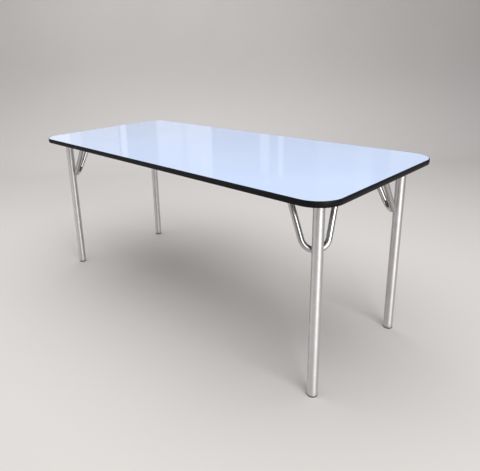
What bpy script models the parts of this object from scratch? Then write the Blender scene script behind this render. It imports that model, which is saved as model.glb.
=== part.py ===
# Canteen table: a laminated board with a black edging on four round steel legs.
# Each leg is welded to a plate under the board and stiffened by a bent brace tube.
# Metres, +Z up. The origin is on the floor under the middle of the top,
# +X runs along the long side and +Y to the back.

from math import acos, atan2, cos, hypot, pi, radians, sin, sqrt

import bmesh
import bpy
from mathutils import Vector

# Overall size
TABLE_LENGTH = 1.800
TABLE_WIDTH = 0.800
TABLE_HEIGHT = 0.760
CORNER_RADIUS = 0.095

# Clearance kept between neighbouring pieces
GAP = 0.0003

# Sheets and core of the top
LAMINATE_THICKNESS = 0.0010
CORE_THICKNESS = 0.0180
BACKING_THICKNESS = 0.0008

# Edging with a crowned face and a barbed tongue
EDGING_THICKNESS = 0.0030
EDGING_CROWN = 0.0012
EDGING_DROP = 0.0006
TONGUE_DEPTH = 0.0100
TONGUE_THICKNESS = 0.0016
BARB_HEIGHT = 0.0005

# Legs
LEG_DIAMETER = 0.0381
LEG_WALL = 0.0015
LEG_INSET_ALONG = 0.091
LEG_INSET_ACROSS = 0.109

# End plugs that stand on the floor
PLUG_FLANGE = 0.0045
PLUG_STEM_LENGTH = 0.0240
PLUG_STEM_WALL = 0.0020
PLUG_RIB_HEIGHT = 0.0007
PLUG_EDGE_RADIUS = 0.0012

# Brace tubes, bent to a U whose bottom lies on the inner side of the leg
BRACE_DIAMETER = 0.0222
BRACE_WALL = 0.0012
BRACE_DROP = 0.1895
BRACE_BEND_RADIUS = 0.0475
BRACE_TOP_REACH = 0.1075
BRACE_TOP_SPREAD = 0.0845

# Plates between the legs and the board
PLATE_THICKNESS = 0.0030
PLATE_CORNER_RADIUS = 0.0080
SCREW_EDGE_DISTANCE = 0.0120

# Wood screws
SCREW_DIAMETER = 0.0040
SCREW_GRIP = 0.0125
SCREW_POINT = 0.0035
SCREW_HEAD_DIAMETER = 0.0080
SCREW_HEAD_HEIGHT = 0.0024
SCREW_HEAD_CLEARANCE = 0.0025
RECESS_SPAN = 0.0042
RECESS_WIDTH = 0.0009
RECESS_DEPTH = 0.0012

# Fineness of round shapes
ROUND_SIDES = 32
BRACE_SIDES = 16
BEND_SEGMENTS = 12
CORNER_SEGMENTS = 8
SCREW_SIDES = 10
CROWN_STEPS = 6

# Levels from the top down
core_top = TABLE_HEIGHT - LAMINATE_THICKNESS - GAP
core_bottom = core_top - CORE_THICKNESS
backing_top = core_bottom - GAP
backing_bottom = backing_top - BACKING_THICKNESS
plate_top = backing_bottom - GAP
plate_bottom = plate_top - PLATE_THICKNESS
leg_top = plate_bottom - GAP
leg_bottom = PLUG_FLANGE + GAP
brace_low = plate_bottom - BRACE_DROP

# Outline of the board inside the edging
board_inset = EDGING_THICKNESS + GAP
board_length = TABLE_LENGTH - 2 * board_inset
board_width = TABLE_WIDTH - 2 * board_inset
board_radius = CORNER_RADIUS - board_inset

# Places on a plate, measured inward from the leg's axis along both sides of the table
leg_radius = LEG_DIAMETER / 2
brace_radius = BRACE_DIAMETER / 2
brace_offset = leg_radius + brace_radius + GAP
arm_far = (BRACE_TOP_REACH + BRACE_TOP_SPREAD) / sqrt(2)
arm_near = (BRACE_TOP_REACH - BRACE_TOP_SPREAD) / sqrt(2)
head_room = SCREW_HEAD_DIAMETER / 2 + SCREW_HEAD_CLEARANCE
outer_screw = -(leg_radius + head_room) / sqrt(2)
tip_screw = arm_far + 1.1 * brace_radius + head_room
plate_back = outer_screw - SCREW_EDGE_DISTANCE
plate_reach = tip_screw + SCREW_EDGE_DISTANCE
plate_tip = arm_near + SCREW_EDGE_DISTANCE
inner_screw = (plate_reach + plate_tip - SCREW_EDGE_DISTANCE * sqrt(2)) / 2
screw_places = [
    (outer_screw, outer_screw),
    (tip_screw, arm_near),
    (arm_near, tip_screw),
    (inner_screw, inner_screw),
]

# Corners of the table: name, sides of the leg's axis, and turn of the corner's own frame
corners = [
    ("front_left", -1, -1, 0),
    ("front_right", 1, -1, 90),
    ("back_right", 1, 1, 180),
    ("back_left", -1, 1, 270),
]


def clear_scene():
    for item in list(bpy.data.objects):
        bpy.data.objects.remove(item, do_unlink=True)


def new_collection(name):
    group = bpy.data.collections.new(name)
    bpy.context.scene.collection.children.link(group)
    return group


def make_material(name, color, roughness, metallic=0.0):
    material = bpy.data.materials.new(name)
    material.use_nodes = True
    shader = material.node_tree.nodes["Principled BSDF"]
    shader.inputs["Base Color"].default_value = (*color, 1.0)
    shader.inputs["Roughness"].default_value = roughness
    shader.inputs["Metallic"].default_value = metallic
    material.diffuse_color = (*color, 1.0)
    return material


def circle(x, y, radius, sides):
    # Points of a circle, counter-clockwise
    turns = [2 * pi * index / sides for index in range(sides)]
    return [(x + radius * cos(turn), y + radius * sin(turn)) for turn in turns]


def rounded_outline(points, radius, segments):
    # A counter-clockwise polygon with each corner replaced by an arc
    outline = []
    for index, point in enumerate(points):
        corner = Vector(point)
        before = (Vector(points[index - 1]) - corner).normalized()
        after = (Vector(points[(index + 1) % len(points)]) - corner).normalized()
        half_angle = before.angle(after) / 2
        center = corner + (before + after).normalized() * radius / sin(half_angle)
        start = corner + before * radius / (sin(half_angle) / cos(half_angle)) - center
        sweep = pi - 2 * half_angle
        first = atan2(start.y, start.x)
        for step in range(segments + 1):
            turn = first + sweep * step / segments
            outline.append((center.x + radius * cos(turn), center.y + radius * sin(turn)))
    return outline


def board_outline(inset=0.0):
    # The board's plan, drawn in from its edge by an inset
    half_length = board_length / 2 - inset
    half_width = board_width / 2 - inset
    points = [
        (-half_length, -half_width),
        (half_length, -half_width),
        (half_length, half_width),
        (-half_length, half_width),
    ]
    return rounded_outline(points, board_radius - inset, CORNER_SEGMENTS)


def flat_curve(name, outlines, thickness):
    # A flat piece: the first outline is its edge, any others are holes
    data = bpy.data.curves.new(name, "CURVE")
    data.dimensions = "2D"
    data.fill_mode = "BOTH"
    data.extrude = thickness / 2
    for outline in outlines:
        add_spline(data, [(x, y, 0.0) for x, y in outline], closed=True)
    return bpy.data.objects.new(name, data)


def tube_curve(name, points, radius, sides):
    data = bpy.data.curves.new(name, "CURVE")
    data.dimensions = "3D"
    data.bevel_depth = radius
    data.bevel_resolution = (sides - 4) // 2
    data.use_fill_caps = True
    add_spline(data, points, closed=False)
    return bpy.data.objects.new(name, data)


def add_spline(data, points, closed):
    spline = data.splines.new("POLY")
    spline.points.add(len(points) - 1)
    for target, point in zip(spline.points, points):
        target.co = (*point, 1.0)
    spline.use_cyclic_u = closed


def evaluated_mesh(item, name):
    # The object as displayed, with its modifiers, as a welded mesh
    bpy.context.view_layer.update()
    graph = bpy.context.evaluated_depsgraph_get()
    mesh = bpy.data.meshes.new_from_object(item.evaluated_get(graph))
    mesh.name = name
    shape = bmesh.new()
    shape.from_mesh(mesh)
    bmesh.ops.remove_doubles(shape, verts=shape.verts, dist=0.00001)
    bmesh.ops.recalc_face_normals(shape, faces=shape.faces)
    shape.to_mesh(mesh)
    shape.free()
    return mesh


def curve_to_object(curve, group):
    # Replace a curve by a mesh object of the same name and place
    name = curve.name
    group.objects.link(curve)
    mesh = evaluated_mesh(curve, name)
    matrix = curve.matrix_world.copy()
    bpy.data.objects.remove(curve, do_unlink=True)
    item = bpy.data.objects.new(name, mesh)
    item.matrix_world = matrix
    group.objects.link(item)
    return item


def turned_object(name, profile, sides, group, closed=False):
    # A profile in the XZ plane, running down its outer side, turned about Z
    edges = [(index, index + 1) for index in range(len(profile) - 1)]
    if closed:
        edges.append((len(profile) - 1, 0))
    mesh = bpy.data.meshes.new(name)
    mesh.from_pydata([(x, 0.0, z) for x, z in profile], edges, [])
    item = bpy.data.objects.new(name, mesh)
    group.objects.link(item)
    turn = item.modifiers.new("turn", "SCREW")
    turn.steps = sides
    turn.render_steps = sides
    turn.use_merge_vertices = True
    turn.merge_threshold = 0.00001
    return item


def box_cutter(name, low, high):
    shape = bmesh.new()
    bmesh.ops.create_cube(shape, size=1.0)
    for vertex in shape.verts:
        for axis in range(3):
            middle = (low[axis] + high[axis]) / 2
            vertex.co[axis] = middle + vertex.co[axis] * (high[axis] - low[axis])
    return cutter_object(name, shape)


def hole_cutter(name, places, radius, low, high):
    # Upright cylinders at the given places, as one cutter
    shape = bmesh.new()
    for x, y in places:
        made = bmesh.ops.create_cone(
            shape, cap_ends=True, segments=SCREW_SIDES, radius1=radius, radius2=radius, depth=high - low)
        bmesh.ops.translate(shape, verts=made["verts"], vec=(x, y, (low + high) / 2))
    return cutter_object(name, shape)


def cutter_object(name, shape):
    mesh = bpy.data.meshes.new(name)
    shape.to_mesh(mesh)
    shape.free()
    item = bpy.data.objects.new(name, mesh)
    cutter_group.objects.link(item)
    hide_cutter(item)
    return item


def hide_cutter(item):
    item.hide_render = True
    item.display_type = "WIRE"


def cut(item, cutter):
    boolean = item.modifiers.new("cut_" + cutter.name, "BOOLEAN")
    boolean.operation = "DIFFERENCE"
    boolean.solver = "EXACT"
    boolean.object = cutter


def finish(item, material, smooth_angle=None):
    item.data.materials.clear()
    item.data.materials.append(material)
    if smooth_angle is not None:
        item.data.shade_smooth()
        item.data.set_sharp_from_angle(angle=radians(smooth_angle))


def baked(item, name, material, smooth_angle=None):
    # The finished mesh of a modelled master piece, which is then removed
    mesh = evaluated_mesh(item, name)
    mesh.materials.clear()
    mesh.materials.append(material)
    if smooth_angle is not None:
        mesh.shade_smooth()
        mesh.set_sharp_from_angle(angle=radians(smooth_angle))
    bpy.data.objects.remove(item, do_unlink=True)
    return mesh


def place(name, mesh, parent, location=(0.0, 0.0, 0.0)):
    item = bpy.data.objects.new(name, mesh)
    table_group.objects.link(item)
    item.parent = parent
    item.location = location
    return item


def corner_to_world(x, y, side_x, side_y, turn):
    # A place in a corner's own frame, seen from the middle of the table
    leg_x = side_x * (TABLE_LENGTH / 2 - LEG_INSET_ALONG)
    leg_y = side_y * (TABLE_WIDTH / 2 - LEG_INSET_ACROSS)
    angle = radians(turn)
    return (leg_x + x * cos(angle) - y * sin(angle), leg_y + x * sin(angle) + y * cos(angle))


def build_top():
    screw_radius = SCREW_DIAMETER / 2
    places = [corner_to_world(x, y, *corner[1:]) for corner in corners for x, y in screw_places]

    # Decorative sheet on top
    sheet = flat_curve("top_laminate", [board_outline()], LAMINATE_THICKNESS)
    sheet.location.z = TABLE_HEIGHT - LAMINATE_THICKNESS / 2
    sheet = curve_to_object(sheet, table_group)
    finish(sheet, laminate)

    # Core with a groove for the tongue and blind holes for the screws
    board = flat_curve("board_core", [board_outline()], CORE_THICKNESS)
    board.location.z = (core_top + core_bottom) / 2
    board = curve_to_object(board, table_group)
    finish(board, particle_board)
    groove_depth = TONGUE_DEPTH + 2 * GAP
    groove_height = TONGUE_THICKNESS + 2 * BARB_HEIGHT + 2 * GAP
    groove = flat_curve("groove", [board_outline(-0.01), board_outline(groove_depth)], groove_height)
    groove.location.z = edging_middle()
    groove = curve_to_object(groove, cutter_group)
    hide_cutter(groove)
    cut(board, groove)
    hole_top = plate_bottom - GAP + screw_length() + GAP
    pilots = hole_cutter("pilot_holes", places, screw_radius + GAP, core_bottom - 0.001, hole_top)
    cut(board, pilots)

    # Balancing sheet underneath, with a hole for each screw
    holes = [circle(x, y, screw_radius + GAP, SCREW_SIDES) for x, y in places]
    backing = flat_curve("backing_sheet", [board_outline(), *holes], BACKING_THICKNESS)
    backing.location.z = (backing_top + backing_bottom) / 2
    backing = curve_to_object(backing, table_group)
    finish(backing, backing_paper)


def edging_middle():
    return (TABLE_HEIGHT + backing_bottom - EDGING_DROP) / 2


def screw_length():
    # From under the head to the point
    return GAP + PLATE_THICKNESS + GAP + BACKING_THICKNESS + GAP + SCREW_GRIP


def build_edging():
    # Section of the edging: distance out from the board's edge, and height about its middle
    half_height = TABLE_HEIGHT - edging_middle()
    edge = EDGING_THICKNESS - EDGING_CROWN
    half_tongue = TONGUE_THICKNESS / 2
    half_barb = half_tongue + BARB_HEIGHT
    crown = []
    for step in range(CROWN_STEPS + 1):
        share = 1 - 2 * step / CROWN_STEPS
        crown.append((GAP + edge + EDGING_CROWN * (1 - share * share), half_height * share * 0.955))
    section = [(GAP, half_height), (GAP + edge - 0.0004, half_height), *crown]
    section += [(GAP + edge - 0.0004, -half_height), (GAP, -half_height)]
    section += [(GAP, -half_tongue), (-0.35 * TONGUE_DEPTH, -half_tongue), (-0.35 * TONGUE_DEPTH, -half_barb)]
    section += [(-0.9 * TONGUE_DEPTH, -half_tongue), (-TONGUE_DEPTH, -half_tongue * 0.6)]
    section += [(-TONGUE_DEPTH, half_tongue * 0.6), (-0.9 * TONGUE_DEPTH, half_tongue)]
    section += [(-0.35 * TONGUE_DEPTH, half_barb), (-0.35 * TONGUE_DEPTH, half_tongue), (GAP, half_tongue)]
    profile_data = bpy.data.curves.new("edging_section", "CURVE")
    profile_data.dimensions = "2D"
    profile_data.fill_mode = "NONE"
    add_spline(profile_data, [(-x, y, 0.0) for x, y in reversed(section)], closed=True)
    profile = bpy.data.objects.new("edging_section", profile_data)
    cutter_group.objects.link(profile)
    hide_cutter(profile)

    # The section follows the board's edge all round
    path_data = bpy.data.curves.new("edge_band", "CURVE")
    path_data.dimensions = "2D"
    path_data.fill_mode = "NONE"
    path_data.bevel_mode = "OBJECT"
    path_data.bevel_object = profile
    add_spline(path_data, [(x, y, 0.0) for x, y in board_outline()], closed=True)
    path = bpy.data.objects.new("edge_band", path_data)
    path.location.z = edging_middle()
    band = curve_to_object(path, table_group)
    finish(band, edging, smooth_angle=40)
    bpy.data.objects.remove(profile, do_unlink=True)


def leg_mesh():
    inner = leg_radius - LEG_WALL
    profile = [(leg_radius, leg_top), (leg_radius, leg_bottom), (inner, leg_bottom), (inner, leg_top)]
    tube = turned_object("leg_tube", profile, ROUND_SIDES, table_group, closed=True)
    return baked(tube, "leg_tube", polished_steel, smooth_angle=40)


def plug_mesh():
    rib_radius = leg_radius - LEG_WALL - GAP
    stem_radius = rib_radius - PLUG_RIB_HEIGHT
    cup_radius = stem_radius - PLUG_STEM_WALL
    stem_top = PLUG_FLANGE + PLUG_STEM_LENGTH
    rib_pitch = PLUG_STEM_LENGTH / 3
    profile = [(0.0, PLUG_FLANGE), (cup_radius, PLUG_FLANGE), (cup_radius, stem_top)]
    profile.append((stem_radius - 0.0006, stem_top))
    for rib in range(2):
        rib_top = stem_top - (rib + 0.5) * rib_pitch
        profile += [(stem_radius, rib_top), (rib_radius, rib_top - rib_pitch / 2)]
    profile += [(stem_radius, PLUG_FLANGE), (leg_radius, PLUG_FLANGE)]
    for step in range(3):
        turn = pi / 2 * step / 2
        x = leg_radius - PLUG_EDGE_RADIUS * (1 - cos(turn))
        z = PLUG_EDGE_RADIUS * (1 - sin(turn))
        profile.append((x, z))
    profile.append((0.0, 0.0))
    plug = turned_object("foot_plug", profile, ROUND_SIDES, table_group)
    return baked(plug, "foot_plug", black_plastic, smooth_angle=40)


def plate_mesh():
    points = [
        (plate_back, plate_back),
        (plate_reach, plate_back),
        (plate_reach, plate_tip),
        (plate_tip, plate_reach),
        (plate_back, plate_reach),
    ]
    outline = rounded_outline(points, PLATE_CORNER_RADIUS, 4)
    holes = [circle(x, y, SCREW_DIAMETER / 2 + GAP, SCREW_SIDES) for x, y in screw_places]
    plate = flat_curve("mounting_plate", [outline, *holes], PLATE_THICKNESS)
    plate.location.z = (plate_top + plate_bottom) / 2
    plate = curve_to_object(plate, table_group)
    plate.data.transform(plate.matrix_world)
    plate.matrix_world.identity()
    return baked(plate, "mounting_plate", plate_steel)


def brace_path(extra):
    # Centreline of the U in its leaning plane, run past the plate by an extra length
    rise = leg_top - brace_low
    lean = atan2(BRACE_TOP_REACH - brace_offset, rise)
    height = hypot(BRACE_TOP_REACH - brace_offset, rise)
    center_distance = hypot(BRACE_TOP_SPREAD, height - BRACE_BEND_RADIUS)
    tangent = atan2(height - BRACE_BEND_RADIUS, BRACE_TOP_SPREAD) - acos(BRACE_BEND_RADIUS / center_distance)
    side = []
    for step in range(BEND_SEGMENTS // 2 + 1):
        turn = -pi / 2 + (tangent + pi / 2) * step / (BEND_SEGMENTS // 2)
        side.append((BRACE_BEND_RADIUS * cos(turn), BRACE_BEND_RADIUS * (1 + sin(turn))))
    arm = Vector((BRACE_TOP_SPREAD, height)) - Vector(side[-1])
    end = Vector((BRACE_TOP_SPREAD, height)) + arm.normalized() * extra
    side.append((end.x, end.y))
    flat = [(-x, y) for x, y in reversed(side[1:])] + side

    # Lay the plane against the leg, leaning along the inward diagonal
    inward = Vector((1, 1, 0)).normalized()
    across = Vector((1, -1, 0)).normalized()
    up = Vector((0, 0, 1))
    slope = inward * sin(lean) + up * cos(lean)
    start = inward * brace_offset + up * brace_low
    return [start + across * x + slope * y for x, y in flat]


def brace_mesh():
    run_out = 2 * BRACE_DIAMETER
    tube = tube_curve("brace", brace_path(run_out), brace_radius, BRACE_SIDES)
    tube = curve_to_object(tube, table_group)
    bore = tube_curve("brace_bore", brace_path(run_out + 0.01), brace_radius - BRACE_WALL, BRACE_SIDES)
    bore = curve_to_object(bore, cutter_group)
    hide_cutter(bore)
    cut(tube, bore)
    reach = 2 * plate_reach
    trim = box_cutter("brace_trim", (-reach, -reach, leg_top), (reach, reach, leg_top + 0.1))
    cut(tube, trim)
    return baked(tube, "brace", polished_steel, smooth_angle=40)


def screw_mesh():
    # Point up, head down, with the underside of the head at zero
    radius = SCREW_DIAMETER / 2
    head = SCREW_HEAD_DIAMETER / 2
    length = screw_length()
    profile = [
        (0.0, length),
        (radius, length - SCREW_POINT),
        (radius, 0.0),
        (head, 0.0),
        (head, -0.35 * SCREW_HEAD_HEIGHT),
        (0.75 * head, -0.85 * SCREW_HEAD_HEIGHT),
        (0.0, -SCREW_HEAD_HEIGHT),
    ]
    screw = turned_object("plate_screw", profile, SCREW_SIDES, table_group)
    recess_top = -SCREW_HEAD_HEIGHT + RECESS_DEPTH
    for index, (span_x, span_y) in enumerate([(RECESS_SPAN, RECESS_WIDTH), (RECESS_WIDTH, RECESS_SPAN)]):
        low = (-span_x / 2, -span_y / 2, -2 * SCREW_HEAD_HEIGHT)
        high = (span_x / 2, span_y / 2, recess_top)
        cut(screw, box_cutter("recess_%d" % (index + 1), low, high))
    return baked(screw, "plate_screw", zinc_steel, smooth_angle=40)


def build_corners():
    leg = leg_mesh()
    plug = plug_mesh()
    brace = brace_mesh()
    plate = plate_mesh()
    screw = screw_mesh()
    for name, side_x, side_y, turn in corners:
        frame = bpy.data.objects.new("corner_" + name, None)
        table_group.objects.link(frame)
        frame.location = (*corner_to_world(0.0, 0.0, side_x, side_y, turn), 0.0)
        frame.rotation_euler.z = radians(turn)
        place("leg_tube_" + name, leg, frame)
        place("foot_plug_" + name, plug, frame)
        place("brace_" + name, brace, frame)
        place("mounting_plate_" + name, plate, frame)
        for index, (x, y) in enumerate(screw_places):
            place("plate_screw_%s_%d" % (name, index + 1), screw, frame, (x, y, plate_bottom - GAP))


clear_scene()
table_group = new_collection("canteen_table")
cutter_group = new_collection("cutters")

laminate = make_material("light_blue_laminate", (0.60, 0.72, 0.86), 0.18)
particle_board = make_material("particle_board", (0.50, 0.38, 0.25), 0.80)
backing_paper = make_material("brown_backing", (0.14, 0.10, 0.065), 0.60)
edging = make_material("black_edging", (0.012, 0.012, 0.013), 0.35)
polished_steel = make_material("polished_steel", (0.62, 0.62, 0.62), 0.22, 1.0)
plate_steel = make_material("plate_steel", (0.45, 0.45, 0.45), 0.38, 1.0)
zinc_steel = make_material("zinc_plated_steel", (0.55, 0.56, 0.58), 0.30, 1.0)
black_plastic = make_material("black_plastic", (0.03, 0.03, 0.03), 0.50)

build_top()
build_edging()
build_corners()
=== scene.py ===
from math import acos, atan2, cos, hypot, pi, radians, sin, sqrt

import bmesh
import bpy
from mathutils import Matrix, Vector


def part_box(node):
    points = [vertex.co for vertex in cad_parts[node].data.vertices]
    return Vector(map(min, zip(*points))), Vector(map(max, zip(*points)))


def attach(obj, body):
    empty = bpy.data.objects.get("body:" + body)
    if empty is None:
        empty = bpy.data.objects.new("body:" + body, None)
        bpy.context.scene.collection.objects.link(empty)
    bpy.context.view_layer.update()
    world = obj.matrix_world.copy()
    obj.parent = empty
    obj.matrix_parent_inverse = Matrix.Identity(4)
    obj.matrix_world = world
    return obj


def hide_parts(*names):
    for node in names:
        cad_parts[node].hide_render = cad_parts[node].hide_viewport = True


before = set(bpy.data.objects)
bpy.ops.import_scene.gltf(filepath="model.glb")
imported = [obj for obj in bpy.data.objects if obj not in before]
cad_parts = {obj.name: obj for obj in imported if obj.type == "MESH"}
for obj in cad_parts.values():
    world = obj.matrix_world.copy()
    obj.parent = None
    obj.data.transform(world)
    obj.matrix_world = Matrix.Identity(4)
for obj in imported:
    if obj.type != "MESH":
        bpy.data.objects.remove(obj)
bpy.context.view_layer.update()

print("frame loaded:", len(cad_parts), "nodes")

cornerNames = ["front_left", "front_right", "back_right", "back_left"]
screwsPerPlate = 4
screwNames = ["plate_screw_%s_%d" % (corner, index + 1)
              for corner in cornerNames for index in range(screwsPerPlate)]
bodyName = "root"
upward = Vector((0, 0, 1))


# node maths: sockets that add their own Math nodes

class Value:
    def __init__(self, tree, socket):
        self.tree = tree
        self.socket = socket

    def math(self, operation, *others):
        sockets = dict(enumerate([self, *others]))
        return self.tree.add("ShaderNodeMath", sockets, operation=operation).value(0)

    def __add__(self, other):
        return self.math("ADD", other)

    def __sub__(self, other):
        return self.math("SUBTRACT", other)

    def __rsub__(self, other):
        return self.math("MULTIPLY_ADD", -1.0, other)

    def __mul__(self, other):
        return self.math("MULTIPLY", other)

    def __truediv__(self, other):
        return self.math("DIVIDE", other)

    __radd__ = __add__
    __rmul__ = __mul__

    def below(self, level):
        return self.math("LESS_THAN", level)

    def clamped(self):
        return self.math("MINIMUM", 1.0).math("MAXIMUM", 0.0)

    def between(self, low, high):
        # 0 at low, 1 at high, smooth in between
        sockets = {"Value": self, "From Min": low, "From Max": high}
        made = self.tree.add("ShaderNodeMapRange", sockets, interpolation_type="SMOOTHSTEP")
        return made.value("Result")


class Made:
    # a node that was added, with its outputs as values
    def __init__(self, tree, node):
        self.tree = tree
        self.node = node

    def value(self, name):
        return Value(self.tree, pickSocket(self.node.outputs, name))


class NodeTree:
    def __init__(self, tree):
        self.tree = tree
        self.tree.nodes.clear()

    def add(self, kind, sockets=None, **settings):
        node = self.tree.nodes.new(kind)
        for name, setting in settings.items():
            if name == "stops":
                setStops(node, setting)
            else:
                setattr(node, name, setting)
        for name, fed in (sockets or {}).items():
            self.feed(pickSocket(node.inputs, name), fed)
        return Made(self, node)

    def feed(self, socket, fed):
        if isinstance(fed, Value):
            self.tree.links.new(fed.socket, socket)
        elif isinstance(fed, Made):
            self.tree.links.new(fed.node.outputs[0], socket)
        elif isinstance(fed, list):
            for each in fed:
                self.feed(socket, each)
        else:
            socket.default_value = fed


def pickSocket(sockets, name):
    if isinstance(name, int):
        return sockets[name]
    for socket in sockets:
        if socket.identifier == name:
            return socket
    return sockets[name]


def setStops(node, stops):
    ramp = node.color_ramp
    while len(ramp.elements) > 1:
        ramp.elements.remove(ramp.elements[-1])
    ramp.elements[0].position = stops[0][0]
    ramp.elements[0].color = asColor(stops[0][1])
    for place, color in stops[1:]:
        ramp.elements.new(place).color = asColor(color)


def asColor(color):
    return (*color, 1.0)


class Finish(NodeTree):
    # a material, with the textures that its finish is mixed from
    def __init__(self, name, look):
        self.look = look
        self.material = bpy.data.materials.new(name)
        self.material.use_nodes = True
        super().__init__(self.material.node_tree)
        self.place = self.add("ShaderNodeTexCoord").value("Object")

    def height(self):
        return self.add("ShaderNodeSeparateXYZ", {"Vector": self.place}).value("Z")

    def mapped(self, scale, place=None, **turnAndShift):
        sockets = {"Vector": place or self.place, "Scale": scale, **turnAndShift}
        return self.add("ShaderNodeMapping", sockets).value("Vector")

    def attribute(self, name, output="Vector"):
        return self.add("ShaderNodeAttribute", attribute_name=name).value(output)

    def noise(self, pattern, place=None):
        # a pattern, or its name in the look: scale, detail, roughness and, for some, how it is stretched
        pattern = self.look[pattern] if isinstance(pattern, str) else pattern
        scale, detail, roughness, *stretch = pattern
        place = self.mapped(stretch[0], place) if stretch else place or self.place
        sockets = {"Vector": place, "Scale": scale, "Detail": detail, "Roughness": roughness}
        return self.add("ShaderNodeTexNoise", sockets).value("Fac")

    def cells(self, scale, place=None, output="Distance"):
        sockets = {"Vector": place or self.place, "Scale": scale}
        return self.add("ShaderNodeTexVoronoi", sockets).value(output)

    def ramp(self, fed, stops):
        return self.add("ShaderNodeValToRGB", {"Fac": fed}, stops=stops).value("Color")

    def mix(self, factor, first, second):
        first = first if isinstance(first, Value) else asColor(first)
        sockets = {"Factor_Float": factor, "A_Color": first, "B_Color": asColor(second)}
        return self.add("ShaderNodeMix", sockets, data_type="RGBA").value("Result_Color")

    def bump(self, height, distance, strength=1.0, under=None):
        sockets = {"Height": height, "Distance": distance, "Strength": strength}
        if under:
            sockets["Normal"] = under
        return self.add("ShaderNodeBump", sockets).value("Normal")

    def surface(self, **sockets):
        named = {key.replace("_", " "): fed for key, fed in sockets.items()}
        shader = self.add("ShaderNodeBsdfPrincipled", named)
        self.add("ShaderNodeOutputMaterial", {"Surface": shader})
        return self.material


# materials

laminateLook = {
    "blue": (0.478, 0.600, 0.852),
    "paleBlue": (0.502, 0.624, 0.868),
    "clouds": (2.3, 3.0, 0.55),
    "fleckColor": (0.93, 0.95, 0.99),
    "fleckShare": 0.03,
    "flecks": (900.0, 1.0, 0.4),
    "roughness": 0.045,
    "scratches": (1.0, 2.0, 0.6),
    # each direction's turn in radians, shift of its noise, and scale of its patches
    "scratchTurns": ((0.35, 3.0, 3.35), (1.25, 11.0, 4.25), (2.35, 23.0, 5.35)),
    "scratchStretch": (6.0, 190.0, 1.0),
    "scratchThinness": 60.0,
    "scratchDepth": 0.000004,
    "smears": (5.0, 4.0, 0.6, (1.0, 2.2, 1.0)),
    "orangePeel": (260.0, 2.0, 0.5),
    "peelDepth": 0.000012,
}


def makeBlueLaminate(look):
    finish = Finish("glossyBlueLaminate", look)
    color = finish.mix(finish.noise("clouds").between(0.3, 0.7), look["blue"], look["paleBlue"])
    flecks = (finish.noise("flecks") - 0.5) * 0.05 + look["fleckShare"]
    color = finish.mix(flecks, color, look["fleckColor"])
    # fine wiping scratches in three directions, thin lines where a stretched noise crosses its middle
    scratches = None
    for turn, shift, patchScale in look["scratchTurns"]:
        place = finish.mapped(look["scratchStretch"], Location=(shift, shift * 0.7, 0.0),
                              Rotation=(0.0, 0.0, turn))
        fromMiddle = (finish.noise("scratches", place) - 0.5).math("ABSOLUTE")
        line = 1.0 - (fromMiddle * look["scratchThinness"]).clamped()
        line = line * finish.noise((patchScale, 1.0, 0.5)).between(0.52, 0.68)
        scratches = line if scratches is None else scratches.math("MAXIMUM", line)
    smears = finish.noise("smears").between(0.35, 0.75)
    roughness = look["roughness"] + smears * 0.035 + scratches * 0.10
    normal = finish.bump(finish.noise("orangePeel"), look["peelDepth"])
    normal = finish.bump(1.0 - scratches, look["scratchDepth"], 0.6, normal)
    return finish.surface(Base_Color=color, Roughness=roughness, Normal=normal, IOR=1.50)


backingLook = {
    "brown": (0.100, 0.071, 0.048),
    "paleBrown": (0.130, 0.092, 0.062),
    "clouds": (4.0, 4.0, 0.6),
    "fibreColor": (0.072, 0.050, 0.035),
    "fibres": (60.0, 3.0, 0.6, (1.0, 14.0, 1.0)),
    "fibreDepth": 0.00003,
    "stainColor": (0.058, 0.041, 0.030),
    "stains": (1.4, 2.0, 0.5),
    "roughness": 0.48,
}


def makeBackingPaper(look):
    finish = Finish("brownBackingPaper", look)
    fibres = finish.noise("fibres")
    color = finish.mix(finish.noise("clouds").between(0.3, 0.7), look["brown"], look["paleBrown"])
    color = finish.mix(fibres.between(0.45, 0.75) * 0.35, color, look["fibreColor"])
    color = finish.mix(finish.noise("stains").between(0.62, 0.80) * 0.25, color, look["stainColor"])
    normal = finish.bump(fibres, look["fibreDepth"])
    return finish.surface(Base_Color=color, Roughness=look["roughness"] + fibres * 0.2, Normal=normal)


boardLook = {
    "chipColors": [(0.0, (0.30, 0.19, 0.10)), (0.45, (0.52, 0.37, 0.22)),
                   (0.8, (0.66, 0.51, 0.33)), (1.0, (0.75, 0.62, 0.44))],
    "chipScale": 420.0,
    "chipStretch": (1.0, 0.35, 2.2),
    "chipDepth": 0.0003,
    "dustColor": (0.62, 0.50, 0.36),
    "dust": (1500.0, 2.0, 0.6),
    "roughness": 0.78,
}


def makeParticleBoard(look):
    finish = Finish("pressedWoodChips", look)
    place = finish.mapped(look["chipStretch"])
    chips = finish.cells(look["chipScale"], place, "Color")
    tone = finish.add("ShaderNodeSeparateColor", {"Color": chips}).value("Red")
    color = finish.ramp(tone, look["chipColors"])
    color = finish.mix(finish.noise("dust").between(0.5, 0.8) * 0.5, color, look["dustColor"])
    normal = finish.bump(finish.cells(look["chipScale"], place), look["chipDepth"])
    return finish.surface(Base_Color=color, Roughness=look["roughness"] + tone * 0.15, Normal=normal)


edgingLook = {
    "black": (0.0045, 0.0043, 0.0050),
    "worn": (0.020, 0.019, 0.021),
    "roughness": 0.36,
    "shine": 0.12,
    "dieLines": (1.0, 3.0, 0.7, (0.8, 0.8, 1900.0)),
    "dieDepth": 0.00003,
    "grain": (1100.0, 3.0, 0.6),
    "grainDepth": 0.00001,
    "rubs": (9.0, 5.0, 0.65, (1.0, 1.0, 40.0)),
    "dust": (2.0, 3.0, 0.5),
}


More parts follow.
